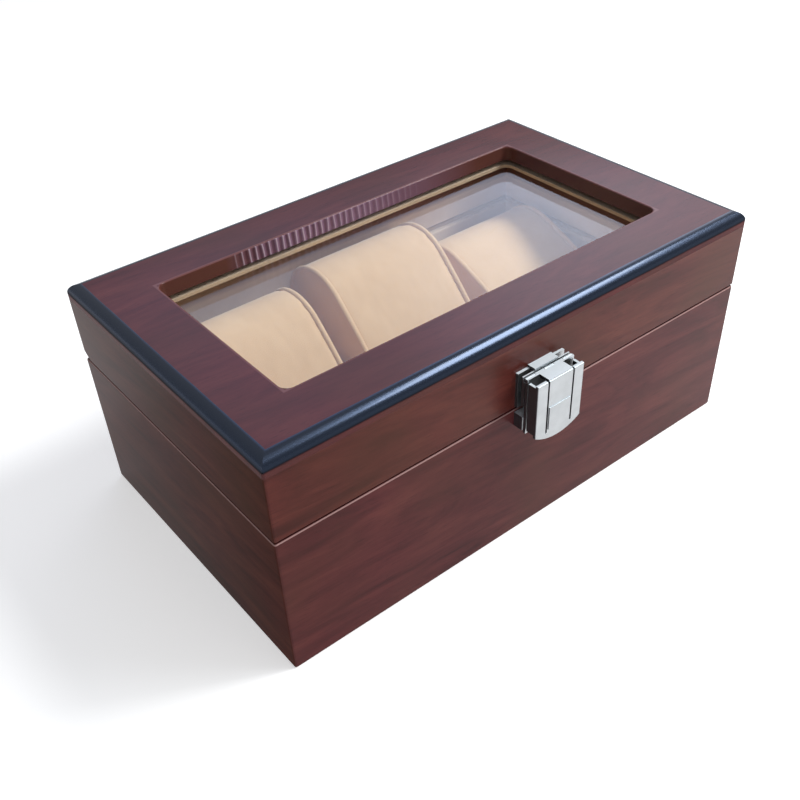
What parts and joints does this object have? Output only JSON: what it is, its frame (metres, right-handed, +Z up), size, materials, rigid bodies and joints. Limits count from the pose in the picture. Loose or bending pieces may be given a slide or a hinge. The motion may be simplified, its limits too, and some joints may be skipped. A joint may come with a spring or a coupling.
{
  "type": "watch box",
  "caption": "Lacquered wooden watch box with a hinged glazed lid, a front snap latch and lined bays that hold loose velvet watch pillows.",
  "frame": {"origin": "middle of the underside", "axes": "+X along the long side, to the right as seen from the latch, +Y to the hinges, +Z up"},
  "size_m": [0.2, 0.129, 0.084],
  "materials": {
    "veneer": "gloss lacquer",
    "bottom_board": "matt board",
    "lining": "velvet on board",
    "pillow_velvet": "velvet",
    "glazing_bead": "felt strip",
    "clear_glass": "polished",
    "latch_metal": "polished plate",
    "hinge_metal": "satin"
  },
  "bodies": {
    "base": {"base_front_wall": "veneer", "base_back_wall": "veneer", "base_left_wall": "veneer", "base_right_wall": "veneer", "base_bottom_panel": "bottom_board", "floor_pad": "lining", "base_front_liner": "lining", "base_back_liner": "lining", "base_left_liner": "lining", "base_right_liner": "lining", "left_divider": "lining", "right_divider": "lining", "left_hinge_base_leaf": "hinge_metal", "right_hinge_base_leaf": "hinge_metal", "left_hinge_pin": "hinge_metal", "right_hinge_pin": "hinge_metal", "hinge_base_screws": "hinge_metal", "latch_catch": "latch_metal"},
    "lid": {"lid_front_wall": "veneer", "lid_back_wall": "veneer", "lid_left_wall": "veneer", "lid_right_wall": "veneer", "lid_top_panel": "veneer", "glass_pane": "clear_glass", "glazing_bead": "glazing_bead", "lid_front_liner": "lining", "lid_back_liner": "lining", "lid_left_liner": "lining", "lid_right_liner": "lining", "left_hinge_lid_leaf": "hinge_metal", "right_hinge_lid_leaf": "hinge_metal", "hinge_lid_screws": "hinge_metal", "latch_bracket": "latch_metal", "latch_pin": "latch_metal"},
    "flap": {"latch_flap": "latch_metal"},
    "left_pillow_body": {"left_pillow": "pillow_velvet"},
    "middle_pillow_body": {"middle_pillow": "pillow_velvet"},
    "right_pillow_body": {"right_pillow": "pillow_velvet"}
  },
  "joints": [
    {"name": "lid_hinge", "type": "hinge", "parent": "base", "child": "lid", "pos_m": [0, 0.0571, 0.0572], "axis": [-1, 0, 0], "range_deg": [0, 100]},
    {"name": "latch_flap_hinge", "type": "hinge", "parent": "lid", "child": "flap", "pos_m": [0, -0.06355, 0.06785], "axis": [-1, 0, 0], "range_deg": [0, 70]},
    {"name": "left_pillow_rock", "type": "hinge", "parent": "base", "child": "left_pillow_body", "pos_m": [-0.06134, -0.0072, 0.0273], "axis": [1, 0, 0], "range_deg": [-22, 2]},
    {"name": "middle_pillow_rock", "type": "hinge", "parent": "base", "child": "middle_pillow_body", "pos_m": [-0.00057, 0.0003, 0.0273], "axis": [1, 0, 0], "range_deg": [-3, 2]},
    {"name": "right_pillow_rock", "type": "hinge", "parent": "base", "child": "right_pillow_body", "pos_m": [0.05701, -0.0109, 0.0273], "axis": [1, 0, 0], "range_deg": [0, 24]}
  ]
}
